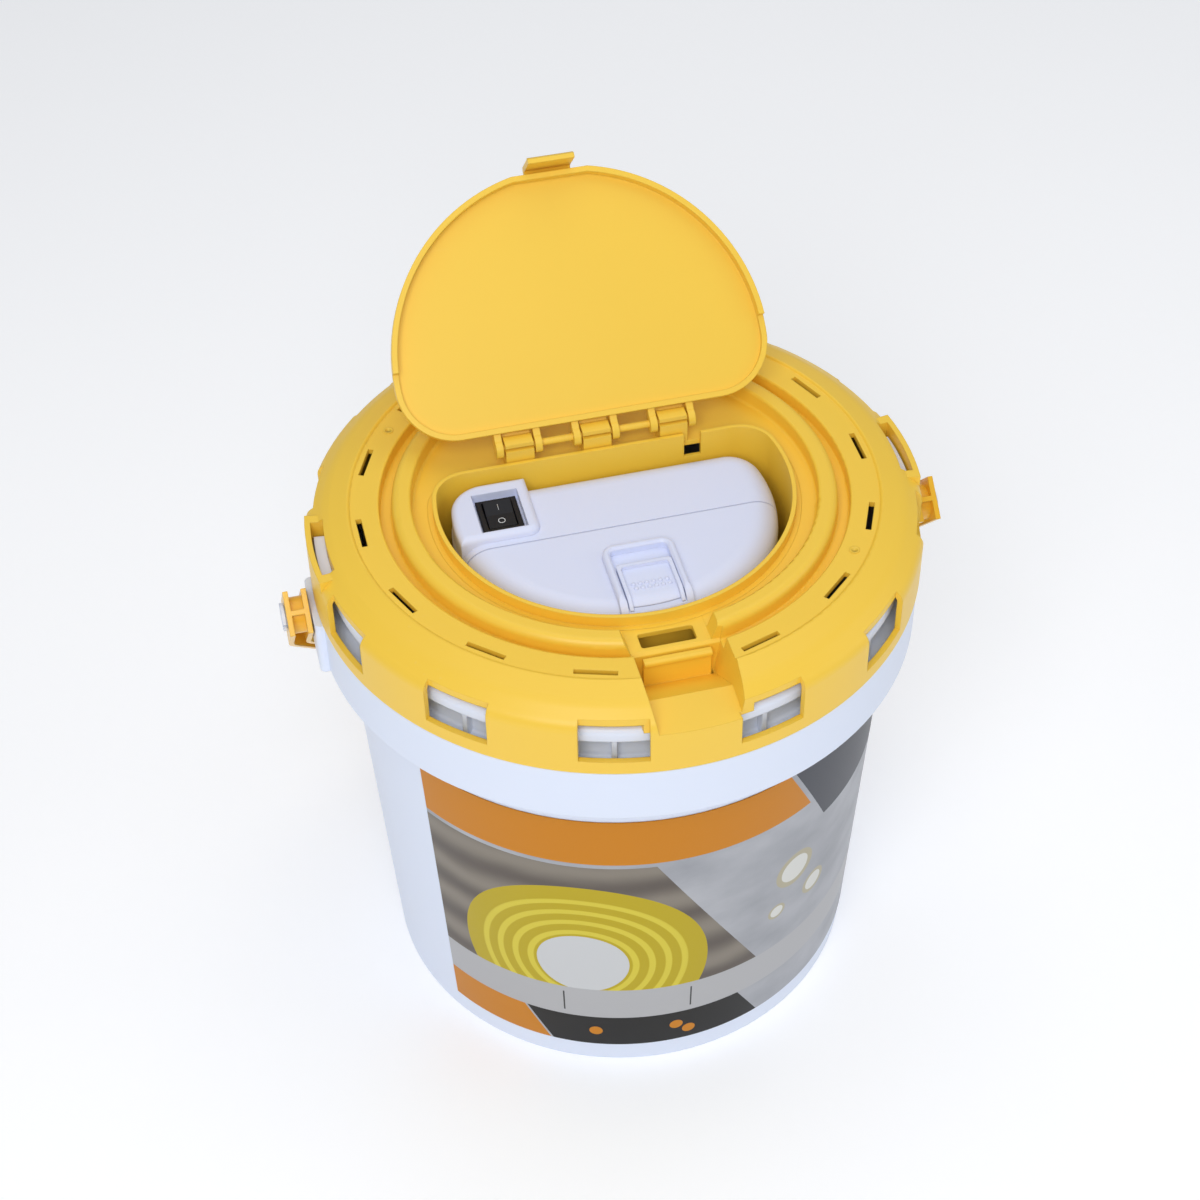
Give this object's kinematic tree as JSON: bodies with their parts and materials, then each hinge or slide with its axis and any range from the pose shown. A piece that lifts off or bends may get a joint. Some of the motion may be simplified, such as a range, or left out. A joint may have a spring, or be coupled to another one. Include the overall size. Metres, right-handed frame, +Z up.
{
  "type": "aerated bait bucket",
  "caption": "Round lidded bucket with a swing handle, a vented push-fit lid, a hinged D-shaped flip lid and a lift-out battery aerator in a well",
  "frame": {"origin": "centre of the bucket's foot ring, on the floor", "axes": "+Z up, -Y towards the lid's finger notch and latch, X along the handle's studs"},
  "size_m": [0.236, 0.2158, 0.2871],
  "materials": {
    "grey_plastic": "satin moulded",
    "label_film": "printed film",
    "amber_plastic": "clear-ish moulded",
    "yellow_plastic": "moulded",
    "pale_plastic": "satin moulded",
    "seal_rubber": "soft",
    "screw_steel": "plated",
    "black_plastic": "moulded",
    "rocker_plastic": "polished",
    "contact_metal": "nickel plated",
    "cell_wrap": "plain sleeve",
    "motor_steel": "plated",
    "bracket_plastic": "moulded",
    "brass_fitting": "turned",
    "tube_plastic": "moulded",
    "stone": "porous",
    "lead_red": "insulated",
    "lead_black": "insulated"
  },
  "bodies": {
    "bucket": {"bucket": "grey_plastic", "bucket_floor": "grey_plastic", "bucket_collar": "grey_plastic", "body_label": "label_film"},
    "handle": {"carry_handle": "amber_plastic"},
    "lid": {"lid": "yellow_plastic", "lid_well": "yellow_plastic"},
    "flip_lid": {"flip_lid": "yellow_plastic"},
    "aerator": {"aerator_case": "pale_plastic", "screw_columns": "pale_plastic", "case_gasket": "seal_rubber", "aerator_top": "pale_plastic", "case_screws": "screw_steel", "switch_body": "black_plastic", "switch_terminals": "contact_metal", "battery_cells": "cell_wrap", "bottom_contact": "contact_metal", "contact_springs": "contact_metal", "motor": "motor_steel", "motor_bracket": "bracket_plastic", "pump_yoke": "bracket_plastic", "diaphragm": "seal_rubber", "pump_head": "bracket_plastic", "outlet_barb": "brass_fitting", "drop_tube": "tube_plastic", "air_stone": "stone", "lead_positive": "lead_red", "lead_negative": "lead_black"},
    "battery_cover": {"battery_cover": "pale_plastic", "top_contact": "contact_metal"},
    "cover_latch": {"cover_latch": "pale_plastic"},
    "rocker": {"switch_rocker": "rocker_plastic"},
    "crank": {"motor_shaft": "motor_steel", "crank_disc": "bracket_plastic"}
  },
  "joints": [
    {"name": "lid_lift", "type": "slide", "parent": "bucket", "child": "lid", "axis": [0, 0, 1], "range_m": [0, 0.2]},
    {"name": "handle_swing", "type": "hinge", "parent": "bucket", "child": "handle", "pos_m": [0, 0, 0.176], "axis": [1, 0, 0], "range_deg": [0, 276.4]},
    {"name": "flip_lid_hinge", "type": "hinge", "parent": "lid", "child": "flip_lid", "pos_m": [0, 0.0269, 0.211], "axis": [-1, 0, 0], "range_deg": [-136, 0]},
    {"name": "aerator_lift", "type": "slide", "parent": "lid", "child": "aerator", "axis": [0, 0, 1], "range_m": [0, 0.2]},
    {"name": "battery_cover_tip", "type": "hinge", "parent": "aerator", "child": "battery_cover", "pos_m": [0, -0.0034, 0.2012], "axis": [-1, 0, 0], "range_deg": [0, 95]},
    {"name": "cover_latch_slide", "type": "slide", "parent": "battery_cover", "child": "cover_latch", "axis": [0, 1, 0], "range_m": [0, 0.003], "stiffness_N_per_m": 500, "springref_m": -0.002},
    {"name": "rocker_tip", "type": "hinge", "parent": "aerator", "child": "rocker", "pos_m": [-0.0394, 0.0038, 0.2], "axis": [-1, 0, 0], "range_deg": [0, 14]},
    {"name": "crank_spin", "type": "hinge", "parent": "aerator", "child": "crank", "pos_m": [0, 0.003, 0.152], "axis": [1, 0, 0], "continuous": true}
  ]
}
